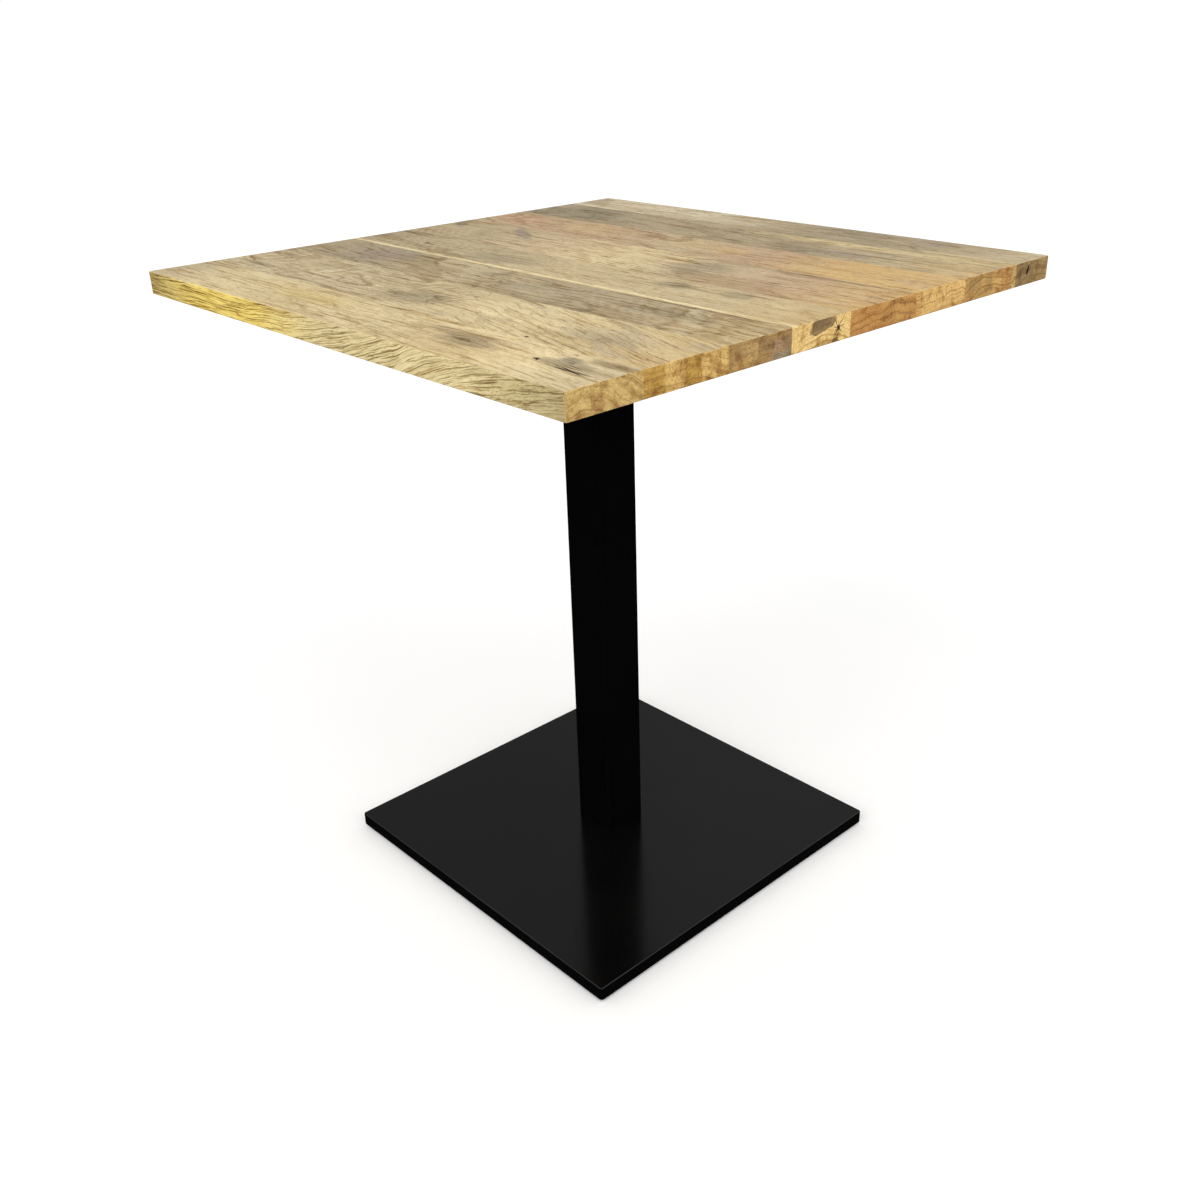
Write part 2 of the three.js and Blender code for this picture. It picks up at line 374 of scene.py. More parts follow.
    def curl_sheen(self, colour, place, size, period, lean, strength):
        """The curly figure's sheen, painted: dark and light waves across the grain where the fibres ripple.
        """
        where = self.vector(self.scaled(self.x, 1 / 44, self.seed), self.times(self.y, 1 / 34), 3.0)
        phase = self.scaled(self.x, 2 * math.pi / period, self.times(self.noise(where, 1.0)["Fac"], 8.0))
        wave = self.math("SINE", self.scaled(self.y, lean * 2 * math.pi / period, phase))
        cover = self.times(self.step(self.oval(place, size), 1.1, 0.5), strength)
        cover = self.times(cover, self.step(self.pattern(40, 14, 13.0), 0.35, 0.6))
        colour = self.darker(colour, wave, -0.5, 1.0, cover, (196, 186, 164))
        return self.lighter(colour, wave, 0.1, -1.0, self.times(cover, 0.6), (96, 90, 70))

    def base(self):
        """Tones from end to end, bands, ripples with painted sheen, stains, and edge tones with painted
        sunlight.
        """
        board = self.board
        blotch = self.pattern(75, 26, 6.0, 4.0, 0.62)
        colour = self.ramp(self.along, [tone(name) for name in board["tones"]])
        cover = self.times(self.step(blotch, 0.5, 0.68), board["blotch"])
        colour = self.mix(cover, colour, tone(board["shade"]))
        cover = self.times(self.step(blotch, 0.46, 0.3), 0.5)
        colour = self.mix(cover, colour, tone(board["light"]))
        # ripples of curly figure, with their sheen painted as light and dark waves
        for place in board["curls"]:
            colour = self.curl_sheen(colour, *place)
        for mark in board["marks"]:
            colour = self.mark(colour, *mark)
        # painted light: the gold stretch of these edge tones is a patch of sunlight painted on the long
        # edge
        if board["edge"]:
            face = self.ramp(self.along, [tone(name) for name in EDGE_TONES_AND_SUNLIGHT])
            colour = self.mix(self.times(self.edge, board["edge"]), colour, face)
        return colour

    def long_grain(self):
        """The top, the underside and the long edges: rings, thin lines, streaks, specks and knots."""
        board = self.board
        speck = self.pattern(13, 4.2, 7.0, 4.0, 0.72)
        fleck = self.pattern(9, 2.6, 9.0, 3.0, 0.7)
        face_on = self.scaled(self.edge, -0.75, 1.0)
        thin = self.times(self.step(self.growth, 0.35, 0.6), self.times(face_on, board["lines"]))
        rings, specks = (self.times(face_on, board[name]) for name in ("ring", "speck"))
        colour = self.darker(self.base(), self.growth, 0.48, 0.68, rings, (196, 174, 136))
        colour = self.darker(colour, self.ring_noise(3.4, 2.0), 0.55, 0.68, thin, (168, 142, 98))
        colour = self.darker(colour, self.streak, 0.5, 0.68, board["streak"], (190, 168, 130))
        colour = self.lighter(colour, self.streak, 0.47, 0.3, 0.55, (104, 94, 66))
        colour = self.darker(colour, speck, 0.54, 0.70, specks, (166, 144, 108))
        colour = self.lighter(colour, fleck, 0.42, 0.3, 0.6, (96, 86, 58))
        for x, y, size, darkness in board["knots"]:
            colour = self.mark(colour, (x, y), (2.1 * size, 1.3 * size), "umber", 0.6 * darkness, 0.5)
            colour = self.mark(colour, (x, y), (0.75 * size, 0.4 * size), "dark", darkness, 0.3)
        if board["edge"]:
            colour = self.sawn(colour)
        return colour

    def sawn(self, colour):
        """The long edge is rougher sawn: dark and light lines wander along it."""
        where = self.vector(self.scaled(self.x, 1 / 70, self.seed), 14.0, self.times(self.depth, 1 / 1.3))
        lines = self.noise(where, 2.0, 0.62)["Fac"]
        seen = self.times(self.edge, self.scaled(self.along, -0.45, 1.1))
        colour = self.darker(colour, lines, 0.5, 0.62, seen, (142, 118, 70))
        return self.lighter(colour, lines, 0.45, 0.33, self.times(seen, 0.6), (124, 116, 84))

    def end_grain(self):
        """Deeper colour, crossed by the rings' arcs and the rays, and peppered with pores."""
        colour = tone(self.board["end"])
        for mark in self.board["end_marks"]:
            colour = self.end_mark(colour, *mark)
        patch = self.pattern(60, 15, 15.0, 3.0, 0.6)
        rays = self.pattern(40, 3.2, 10.0, 5.0, 0.7)
        colour = self.darker(colour, patch, 0.5, 0.68, 0.65, (176, 146, 102))
        colour = self.lighter(colour, patch, 0.48, 0.3, 0.75, (112, 94, 58))
        colour = self.darker(colour, self.growth, 0.46, 0.68, 0.38, (184, 150, 102))
        colour = self.lighter(colour, self.growth, 0.44, 0.3, 0.4, (92, 80, 52))
        colour = self.darker(colour, self.ring_noise(4.2, 2.0), 0.5, 0.66, 0.5, (170, 138, 92))
        colour = self.darker(colour, rays, 0.5, 0.72, 0.7, (160, 126, 82))
        return self.darker(colour, self.pattern(6, 0.5, 17.0, 1.0), 0.58, 0.7, 0.6, (140, 108, 66))

    def build(self):
        """The whole board, with fibres and open pores everywhere."""
        fibre = self.pattern(26, 0.9, 5.0)
        pores = self.pattern(8, 0.6, 8.0, 1.0)
        colour = self.mix(self.end, self.long_grain(), self.end_grain())
        colour = self.darker(colour, fibre, 0.5, 0.72, 0.6, (206, 190, 160))
        colour = self.darker(colour, pores, 0.60, 0.72, 0.55, (140, 114, 78))
        pits = self.step(pores, 0.60, 0.72)
        height = self.scaled(fibre, 0.35, self.times(self.streak, 0.25))
        height = self.scaled(pits, -0.5, height)
        roughness = self.scaled(pits, 0.12, self.scaled(self.streak, 0.16, 0.36))
        return self.finish(
            Base_Color=colour,
            Roughness=self.scaled(self.end, 0.10, roughness),
            Normal=self.bump(height, 0.35 * MM, 0.6),
            Specular_IOR_Level=0.2,
        )


# on the long edges the grain climbs towards +X, starting this many mm before the middle
EDGE_SLANT = -0.24
EDGE_SLANT_FROM = 60
# tones along the front long edge from -X to +X; the gold ones paint a patch of sunlight
EDGE_TONES_AND_SUNLIGHT = ["edge_umber", "edge_sunlit_gold", "edge_sunlit_gold", "edge_pale", "edge_pale", "edge_pale", "edge_dull"]

# Places and sizes are in mm, and tones run from -X to +X. A mark is a place, half size, tone and
# strength, and may add how ragged and how aslant it is. An end mark is placed by Y and Z, and may add
# its slant. A curl is a place, half size, period, lean and strength of the painted sheen on a rippled
# figure. A knot is x, y, size and darkness. The pith is y, z, slope and ring width. The slant is from
# which x the grain turns aside, and how much.
BOARD = {
    "light": "cream", "shade": "olive", "blotch": 0.6, "ring": 0.45, "lines": 0.4, "streak": 0.75,
    "speck": 0.55, "edge": 0.0, "slant": (0, 0), "knots": [], "marks": [], "curls": [], "end_marks": [],
}
BOARDS = [
    dict(BOARD, tones=["beige", "cream", "straw", "cream", "cream", "sapwood", "sand"],
         shade="sand", edge=1.0, streak=0.85, lines=0.5, pith=(-330, 640, 0.02, 7.0), end="end_straw",
         slant=(180, 0.07), knots=[(172, -303, 6, 0.03)],
         marks=[((172, -303), (40, 22), "grey_brown", 0.7), ((150, -290), (60, 9), "beige", 0.7),
                ((300, -300), (44, 11), "ash", 0.6), ((290, -289), (16, 9), "ash", 0.8),
                ((324, -277), (28, 9), "umber", 0.5), ((262, -303), (4.5, 3), "dark", 0.9, 0.2),
                ((310, -310), (28, 2.6), "dark", 0.85, 0.3), ((252, -288), (15, 6), "sapwood", 0.7),
                ((-80, -300), (70, 18), "yellow", 0.6), ((-330, -300), (24, 30), "olive", 0.6),
                ((150, -278), (120, 5), "sapwood", 0.4), ((262, -320), (70, 6), "sapwood", 0.5)]),
    dict(BOARD, tones=["pale_sand", "pale_sand", "pale_sand", "sand", "cream", "straw", "honey"],
         shade="beige", blotch=0.9, lines=0.6, ring=0.3, streak=0.8, pith=(-190, 500, 0.02, 6.0),
         end="end_gold", slant=(90, 0.26),
         curls=[((-250, -215), (130, 70), 24, -0.35, 0.4), ((-20, -215), (90, 55), 13, -0.4, 0.45)],
         marks=[((-5, -228), (50, 26), "ash", 0.5), ((-285, -245), (30, 8), "ash", 0.5),
                ((95, -215), (50, 40), "cream", 0.6), ((180, -225), (150, 7), "sapwood", 0.5),
                ((255, -222), (60, 20), "brown", 0.75), ((250, -200), (110, 6), "beige", 0.7),
                ((200, -262), (3, 2.2), "dark", 0.9, 0.2)],
         end_marks=[((-185, 738), (16, 18), "end_cream", 0.5), ((-232, 737), (12, 16), "end_cream", 0.5)]),
    dict(BOARD, tones=["brown", "grey_brown", "beige", "olive", "brown", "beige", "straw"],
         shade="grey_brown", light="olive", ring=0.4, streak=1.0, pith=(-120, 560, 0.05, 9.0),
         end="end_umber", curls=[((200, -125), (90, 40), 16, 0.8, 0.3)],
         marks=[((-230, -120), (60, 30), "mauve", 0.65), ((230, -120), (70, 18), "ash", 0.4),
                ((335, -135), (36, 30), "straw", 0.9), ((230, -88), (130, 2.5), "umber", 0.7),
                ((280, -150), (60, 10), "sand", 0.6)],
         end_marks=[((-100, 732), (14, 12), "mauve", 0.3), ((-150, 728), (14, 9), "end_brown", 0.6),
                    ((-92, 733), (5, 12), "umber", 0.4), ((-98, 727), (13, 4), "ash", 0.8),
                    ((-122, 742), (9, 6), "umber", 0.35), ((-138, 738), (7, 9), "end_straw", 0.4)]),
    dict(BOARD, tones=["brown", "olive", "olive", "sand", "sand", "sand", "honey"],
         lines=0.6, ring=0.4, pith=(-40, 650, 0.04, 6.5), end="end_cream",
         curls=[((-260, -40), (90, 45), 15, 0.9, 0.3)],
         knots=[(155, -25, 7, 0.35), (-250, -42, 5, 0.5)],
         marks=[((-95, -52), (70, 22), "ash", 0.4), ((150, -25), (34, 16), "ash", 0.6),
                ((230, -20), (26, 16), "ash", 0.45), ((0, -81), (900, 3.5), "sapwood", 0.95, 0.3),
                ((-243, -45), (16, 1.6), "dark", 0.8, 0.3)],
         end_marks=[((-42, 745.5), (18, 7.5), "end_grey", 1.0, 0.18),
                    ((-44, 746), (14, 5), "umber", 0.6, 0.15),
                    ((-20, 738), (2.6, 2.6), "umber", 0.9), ((-24, 727), (4, 3), "umber", 0.8)]),
    dict(BOARD, tones=["olive", "olive", "rose", "cream", "beige", "pink_tan", "gold"], streak=0.95,
         shade="pink_tan", light="rose", ring=0.4, pith=(60, 520, 0.08, 8.0), end="end_orange",
         knots=[(-80, 30, 4, 0.5), (-18, 35, 4, 0.5), (0, 5, 3, 0.5)],
         curls=[((-300, 20), (70, 40), 14, 1.0, 0.3)],
         marks=[((-208, 72), (44, 13), "mauve", 0.85, 0.5, -0.6),
                ((-340, 78), (30, 14), "ash", 0.8, 0.5, -0.8),
                ((65, 75), (26, 20), "cream", 0.8), ((105, 55), (44, 40), "ash", 0.5),
                ((220, 45), (13, 2.2), "dark", 0.6, 0.3), ((235, 95), (110, 5), "umber", 0.5)],
         end_marks=[((75, 738), (22, 20), "end_brown", 0.3)]),
    dict(BOARD, tones=["beige", "pink_tan", "pink_tan", "beige", "pink_tan", "gold", "gold"],
         shade="pink_tan", light="honey", ring=0.25, streak=0.9, pith=(150, 600, 0.03, 7.0),
         end="end_amber",
         marks=[((-300, 145), (50, 34), "salmon", 0.6), ((-160, 150), (70, 30), "honey", 0.4),
                ((70, 150), (30, 20), "gold", 0.5), ((10, 150), (60, 30), "honey", 0.4)],
         end_marks=[((106, 737), (6, 20), "end_orange", 0.5)]),
    dict(BOARD, tones=["grey_brown", "grey_brown", "brown", "brown", "brown", "olive", "honey"],
         shade="ash", light="olive", blotch=0.7, ring=0.35, streak=1.0, pith=(240, 540, 0.06, 8.0),
         end="end_brown",
         marks=[((-270, 225), (80, 34), "ash", 0.5), ((190, 262), (210, 13), "straw", 0.9),
                ((150, 212), (90, 14), "ash", 0.6), ((180, 218), (34, 11), "mauve", 0.7)],
         end_marks=[((260, 737), (10, 20), "end_orange", 0.6), ((204, 741), (11, 7), "umber", 0.35),
                    ((230, 737), (7, 14), "end_umber", 0.5), ((248, 733), (8, 8), "end_amber", 0.4)]),
    dict(BOARD, tones=["chalk", "chalk", "chalk", "brown", "grey_brown", "brown", "beige"],
         light="chalk", blotch=0.7, ring=0.3, streak=0.95, pith=(330, 610, 0.05, 7.0), end="end_grey",
         marks=[((300, 283), (90, 6), "cream", 0.7), ((-330, 315), (20, 30), "grey_brown", 0.5),
                ((-190, 310), (110, 34), "chalk", 0.5), ((215, 325), (40, 20), "mauve", 0.5),
                ((80, 330), (50, 12), "ash", 0.5)],
         end_marks=[((280, 737), (4, 20), "end_straw", 0.9), ((333, 737), (14, 20), "end_brown", 0.25),
                    ((307, 742), (7, 6), "umber", 0.7)]),
]


# ---- other materials


def painted_hole_shade(name):
    """Walls of a check or knot hole: a dark brown that paints the shade deep in the hole."""
    shader = Shader(name)
    grain = shader.grain((300, 1500, 1500), 3.0)
    return shader.finish(
        Base_Color=shader.mix(grain, linear(30, 22, 14), linear(74, 56, 36)),
        Roughness=shader.scaled(grain, 0.2, 0.7),
        Normal=shader.bump(grain, 0.2 * MM, 0.8),
        Specular_IOR_Level=0.1,
    )


def powder_coat(name, colour, gloss, level, rim):
    """Black powder coat: fine orange peel, faint dust, and a paler line along the upward edges, part edge
    wear and part painted highlight.

    The rim is the half width of the square whose outline gets the paler line.
    """
    shader = Shader(name)
    cloud = shader.grain(9, 4.0)
    dust = shader.times(shader.step(shader.grain(2600), 0.66, 0.8), 0.25)
    x, y, _ = (shader.math("ABSOLUTE", part) for part in shader.parts(shader.place))
    near = shader.step(shader.math("MAXIMUM", x, y), rim - 1.3 * MM, rim - 0.7 * MM)
    turned_up = shader.step(shader.parts(shader.facing)[2], 0.35, 0.6)
    # painted highlight mixed with edge wear: a paler line just inside the rim, only on faces that turn up
    worn_and_highlit = shader.times(shader.times(near, turned_up), shader.scaled(cloud, 0.9, 0.2))
    base = shader.mix(dust, shader.clouded(cloud, colour, 1.5), linear(40, 41, 43))
    return shader.finish(
        Base_Color=shader.mix(worn_and_highlit, base, linear(52, 52, 52)),
        Roughness=shader.scaled(cloud, 0.10, gloss - 0.05),
        Normal=shader.bump(shader.grain(900), 0.02 * MM, 0.5),
        Specular_IOR_Level=level,
    )


def cast_paint(name, colour):
    """Painted or primed casting: coarse sand texture under the paint."""
    shader = Shader(name)
    sand = shader.grain(420, 4.0, 0.65)
    return shader.finish(
        Base_Color=shader.clouded(shader.grain(25, 3.0), colour, 1.8),
        Roughness=shader.scaled(sand, 0.3, 0.45),
        Normal=shader.bump(sand, 0.25 * MM, 0.8),
        Specular_IOR_Level=0.3,
    )


def zinc_plate(name):
    """Bright zinc: a cloudy passivated skin with fine turning marks."""
    shader = Shader(name)
    cloud = shader.grain(350, 3.0)
    return shader.finish(
        Base_Color=shader.mix(cloud, linear(176, 180, 186), linear(205, 203, 192)),
        Metallic=0.6,
        Roughness=shader.scaled(cloud, 0.25, 0.22),
        Normal=shader.bump(shader.grain((200, 200, 4000)), 0.03 * MM, 0.5),
    )


def moulded_nylon(name):
    """Black nylon with a matt moulded grain and paler scuffs."""
    shader = Shader(name)
    scuff = shader.grain((160, 500, 160), 4.0)
    worn = shader.times(shader.step(scuff, 0.55, 0.75), 0.5)
    return shader.finish(
        Base_Color=shader.mix(worn, linear(26, 26, 27), linear(58, 57, 55)),
        Roughness=shader.scaled(scuff, 0.3, 0.4),
        Normal=shader.bump(shader.grain(1500), 0.04 * MM, 0.6),
        Specular_IOR_Level=0.4,
    )


# ---- mesh helpers


def oblong(left, right, low, high):
    return ((left, low), (right, low), (right, high), (left, high))


def quarter(steps):
    """Points along a quarter circle of radius 1, as (1 - cosine, 1 - sine)."""
    angles = [math.radians(90 * i / steps) for i in range(steps + 1)]
    return [(1 - math.cos(angle), 1 - math.sin(angle)) for angle in angles]


def place_piece(name, bm, material, node, body=ROOT, sharp_from=35, inside=None):
    """Put a finished mesh in the scene in place of its CAD node, smooth but for its sharp edges."""
    bmesh.ops.recalc_face_normals(bm, faces=bm.faces)
    for face in bm.faces:
        face.smooth = True
    mesh = bpy.data.meshes.new(name)
    bm.to_mesh(mesh)
    bm.free()
    mesh.set_sharp_from_angle(angle=math.radians(sharp_from))
    mesh.materials.append(material)
    if inside:
        mesh.materials.append(inside)
    piece = add_object(name, mesh)
    even = piece.modifiers.new("even_normals", "WEIGHTED_NORMAL")
    even.keep_sharp = True
    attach(piece, body)
    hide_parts(node)


def scratch_object(bm):
    mesh = bpy.data.meshes.new("scratch")
    bm.to_mesh(mesh)
    bm.free()
    for _ in range(2):
        mesh.materials.append(None)
    return add_object("scratch", mesh)


def modified(bm, prepare):
    """The mesh as the modifiers that prepare adds would leave it."""
    made = scratch_object(bm)
    helpers = prepare(made)
    bpy.context.view_layer.update()
    shaped = made.evaluated_get(bpy.context.evaluated_depsgraph_get())
    result = bmesh.new()
    result.from_mesh(shaped.data)
    for used in [made] + helpers:
        mesh = used.data
        bpy.data.objects.remove(used)
        bpy.data.meshes.remove(mesh)
    return result


def cut(bm, tool, inside=0, operation="DIFFERENCE"):
    """The mesh with the tool's shape cut out of it, or joined to it if the operation is a union.

    The faces that come from the tool take the material of the inside index.
    """
    for face in tool.faces:
        face.material_index = inside

    def prepare(made):
        helper = scratch_object(tool)
        change = made.modifiers.new("cut", "BOOLEAN")
        change.operation = operation
        change.solver = "EXACT"
        change.object = helper
        return [helper]
    return modified(bm, prepare)


def cast(bm, voxel, rounds):
    """One skin round the mesh's shells, with every edge and inner corner rounded as in a casting."""
    def prepare(made):
        skin = made.modifiers.new("skin", "REMESH")
        skin.mode = "VOXEL"
        skin.voxel_size = voxel
        soften = made.modifiers.new("soften", "SMOOTH")
        soften.factor = 0.5
        soften.iterations = rounds
        return []
    return modified(bm, prepare)


def rounded_ring(half, radius, z, steps=6):
    """Points of a square with rounded corners, at one height."""
    inner = half - radius
    points = []
    for corner in range(4):
        middle = math.radians(45 + 90 * corner)
        centre = Vector((math.copysign(inner, math.cos(middle)), math.copysign(inner, math.sin(middle)), z))
        for i in range(steps + 1):
            angle = math.radians(90 * corner + 90 * i / steps)
            points.append(centre + Vector((radius * math.cos(angle), radius * math.sin(angle), 0)))
    return points


def square_rings(half, radius, profile):
    """Squares with rounded corners, along a profile of (inset, height)."""
    return [rounded_ring(half - inset, radius - inset, z) for inset, z in profile]


def round_ring(radius, z, sides=96):
    """Points round the Z axis; the radius may be a function of the angle."""
    points = []
    for i in range(sides):
        angle = 2 * math.pi * i / sides
        reach = radius(angle) if callable(radius) else radius
        points.append(Vector((reach * math.cos(angle), reach * math.sin(angle), z)))
    return points


def add_disc(bm, radius, z, sides=96):
    bm.faces.new([bm.verts.new(point) for point in round_ring(radius, z, sides)])


def skin(bm, rings, closed=False, capped=(True, True)):
    """Add a skin through rings of equally many points; closed joins the last ring to the first."""
    rows = [[bm.verts.new(point) for point in ring] for ring in rings]
    count = len(rows[0])
    pairs = list(zip(rows, rows[1:]))
    if closed:
        pairs.append((rows[-1], rows[0]))
    elif capped[0]:
        bm.faces.new(list(reversed(rows[0])))
    if capped[1] and not closed:
        bm.faces.new(rows[-1])
    for low, high in pairs:
        for i in range(count):
            j = (i + 1) % count
            bm.faces.new((low[i], low[j], high[j], high[i]))


def loft(rings, closed=False):
    bm = bmesh.new()
    skin(bm, rings, closed)
    bmesh.ops.recalc_face_normals(bm, faces=bm.faces)
    return bm


def turned(profile, sides=96, closed=False):
    """A round piece about the Z axis, from its (radius, height) profile."""
    return loft([round_ring(radius, z, sides) for radius, z in profile], closed)


def hexagon(across_flats, limit):
    """Radius of a hexagon by angle, nowhere beyond the limit that a chamfer sets."""
    def radius(angle):
        aside = angle % math.radians(60) - math.radians(30)
        return min(across_flats / 2 / math.cos(aside), limit)
    return radius


def hexagon_profile(across_flats, low, high):
    """Profile of a hexagon's outside, chamfered at 30 degrees above and below."""
    face = 0.475 * across_flats
    rise = (across_flats / math.sqrt(3) - face) * math.tan(math.radians(30))
    steps = 5
    rises = [rise * i / steps for i in range(steps + 1)]
    heights = [(face + up / math.tan(math.radians(30)), up) for up in rises]
    below = [(hexagon(across_flats, reach), low + up) for reach, up in heights]
    above = [(hexagon(across_flats, reach), high - up) for reach, up in reversed(heights)]
    return below + above


# points from one turn of a thread to the next
THREAD_STEPS = 6


def add_thread(bm, radius, depth, pitch, low, high, sides=48, tip=0.0):
    """Add a right-hand V thread round the Z axis, run out to its root at both ends.

    A tip is the length over which the thread tapers to a point at its upper end.
    """
    root = radius - depth
    rows = math.ceil(((high - low) / pitch + 1) * THREAD_STEPS)

    def point(i, row):
        angle = 2 * math.pi * i / sides
        z = low + pitch * (row / THREAD_STEPS + i / sides)
        z = min(max(z, low), high)
        crest = 1 - abs(2 * (row % THREAD_STEPS) / THREAD_STEPS - 1)
        reach = min(root + depth * crest, root + z - low, root + high - z)
        if tip:
            reach *= min(1, (high - z) / tip)
        return bm.verts.new((reach * math.cos(angle), reach * math.sin(angle), z))

    grid = [[point(i, row) for i in range(sides + 1)] for row in range(-THREAD_STEPS, rows + 1)]
    for lower, upper in zip(grid, grid[1:]):
        for i in range(sides):
            bm.faces.new((lower[i], lower[i + 1], upper[i + 1], upper[i]))
    return root


def welded(bm):
    """Join the points that lie together, so that skins added one by one become one closed skin."""
    bmesh.ops.remove_doubles(bm, verts=bm.verts, dist=0.001 * MM)
    bmesh.ops.dissolve_degenerate(bm, edges=bm.edges, dist=0.001 * MM)
    bmesh.ops.recalc_face_normals(bm, faces=bm.faces)
    return bm


def moved(bm, x, y, z=0.0):
    """A copy of the mesh, moved."""
    made = bm.copy()
    bmesh.ops.translate(made, verts=made.verts, vec=(x, y, z))
    return made


def drill(radius, low, high, chamfer, x=0.0, y=0.0):
    """A drill's shape, which enters from below at low and leaves a chamfer there."""
    over = 1 * MM
    bm = turned([
        (radius + chamfer + over, low - over),
        (radius, low + chamfer),
        (radius, high),
    ], sides=48)
    return moved(bm, x, y)


def centre_of(node):
    low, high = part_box(node)
    return (low.x + high.x) / 2, (low.y + high.y) / 2


# ---- tabletop

EDGE_RADIUS = 1.5 * MM
CORNER_RADIUS = 3 * MM
GLUE_LINE = 0.12 * MM


def stave_mesh(low, high, outer):
    """A board with rounded ends, and a rounded outer side where outer is -1 or +1."""
    bm = bmesh.new()
    bmesh.ops.create_cube(bm, size=1.0)
    for vert in bm.verts:
        for axis in range(3):
            vert.co[axis] = low[axis] if vert.co[axis] < 0 else high[axis]
    side = low[1] if outer < 0 else high[1]

    def on_outside(edge):
        return outer and all(abs(vert.co.y - side) < 1e-6 for vert in edge.verts)

    upright = [edge for edge in bm.edges
               if on_outside(edge) and abs(edge.verts[0].co.z - edge.verts[1].co.z) > MM]
    if upright:
        bmesh.ops.bevel(bm, geom=upright, offset=CORNER_RADIUS, segments=6, profile=0.5, affect="EDGES")
    rims = []
    for edge in bm.edges:
        a, b = (vert.co for vert in edge.verts)
        level = abs(a.z - b.z) < 1e-6
        lengthwise = abs(a.y - b.y) < 1e-6
        if level and not (lengthwise and not on_outside(edge)):
            rims.append(edge)
    bmesh.ops.bevel(bm, geom=rims, offset=EDGE_RADIUS, segments=5, profile=0.5, affect="EDGES")
    glued = [edge for edge in bm.edges
             if edge.calc_length() > (high[0] - low[0]) / 2 and not on_outside(edge)
             and any(abs(edge.verts[0].co.y - y) < 1e-6 for y in (low[1], high[1]))]
    bmesh.ops.bevel(bm, geom=glued, offset=GLUE_LINE, segments=1, profile=0.5, affect="EDGES")
    return bm


def crack_tool(start, end, inward, width, depth, wave=0.8, steps=12):
    """A slender wedge, widest at its middle and wavy, that opens a crack from start to end."""
    start, end, inward = (Vector(place) for place in (start, end, inward))
    across = (end - start).cross(inward).normalized()
    rings = []
    for i in range(steps + 1):
        share = i / steps
        spread = max(math.sin(math.pi * share), 0.1)
        middle = start.lerp(end, share) + across * (wave * width * math.sin(6 * share))
        rim = middle - inward * (0.2 * MM)
        side = across * (width / 2 * spread)
        rings.append([rim - side, rim + side, middle + inward * (depth * spread)])
    return loft(rings)


def pit_tool(place, along, across, inward, depth, sides=20):
    """A tapering oval plug; along and across are its half axes at the surface."""
    place, along, across, inward = (Vector(value) for value in (place, along, across, inward))
    rim = []
    for i in range(sides):
        angle = 2 * math.pi * i / sides
        uneven = 1 + 0.2 * math.cos(3 * angle)
        rim.append(along * math.cos(angle) + across * (math.sin(angle) * uneven))
    rings = []
    for level, reach in ((-0.15, 1.0), (0.0, 1.0), (0.5, 0.8), (0.85, 0.5), (1.0, 0.2)):
        rings.append([place + inward * (depth * level) + point * reach for point in rim])
    return loft(rings)


PILOT_RADIUS = 2.75 * MM
PILOT_DEPTH = 18 * MM


def drill_pilots(bm, low, high):
    """Drill the wood screws' pilot holes into the underside."""
    for node in SCREWS:
        x, y = centre_of(node)
        if low[1] < y < high[1]:
            bm = cut(bm, drill(PILOT_RADIUS, low[2], low[2] + PILOT_DEPTH, 0.0, x, y))
    return bm


DOWN = (0, 0, -1)
INTO_END = (-1, 0, 0)
# stave number: checks in its top as ((x, y), (x, y), width, depth), mm
CHECKS = {
    1: [((258, -303), (267, -303.5), 2.4, 2.0), ((284, -306), (337, -313), 1.7, 2.0),
        ((292, -299), (318, -301), 0.8, 1.0)],
    4: [((-256, -44), (-229, -46), 0.9, 1.2)],
    5: [((209, 46), (232, 44), 0.7, 1.0)],
}
# a heart in the end of stave 4 by Y and Z, and the shakes round it by angle and reach, mm
HEART = (-20, 738)
SHAKES = [(14, 9), (52, 12), (95, 8), (124, 11), (168, 9), (205, 6), (228, 11), (266, 10), (321, 8)]
# index of the faults' material in a stave, painted dark as shade in the holes
VOID = 1


def wear_stave(number, bm, high):
    """Open the natural faults of the wood: checks, a worm hole, a knot hole and heart shakes."""
    top, end = high[2], high[0]
    for (x1, y1), (x2, y2), width, depth in CHECKS.get(number, []):
        start, stop = (x1 * MM, y1 * MM, top), (x2 * MM, y2 * MM, top)
        bm = cut(bm, crack_tool(start, stop, DOWN, width * MM, depth * MM), VOID)
    if number == 2:
        hole = pit_tool((200 * MM, -262 * MM, top), (1.7 * MM, 0, 0), (0, 1.2 * MM, 0), DOWN, 2.5 * MM)
        bm = cut(bm, hole, VOID)
    if number == 4:
        heart = Vector((end, HEART[0] * MM, HEART[1] * MM))
        bm = cut(bm, pit_tool(heart, (0, 1.4 * MM, 0), (0, 0, 1.4 * MM), INTO_END, 2 * MM), VOID)
        for i, (angle, reach) in enumerate(SHAKES):
            turn = math.radians(angle)
            width = (0.7 + 0.3 * math.sin(2.3 * i)) * MM
            ray = Vector((0, math.cos(turn), math.sin(turn)))
            start, stop = heart + ray * (0.8 * MM), heart + ray * (reach * MM)
            bm = cut(bm, crack_tool(start, stop, INTO_END, width, 1.2 * MM, wave=0.5), VOID)
    if number == STAVES:
        place = (end, 307 * MM, 741 * MM)
        hole = pit_tool(place, (0, 1.8 * MM, 5.2 * MM), (0, 1.8 * MM, -0.6 * MM), INTO_END, 4 * MM)
        bm = cut(bm, hole, VOID)
    return bm


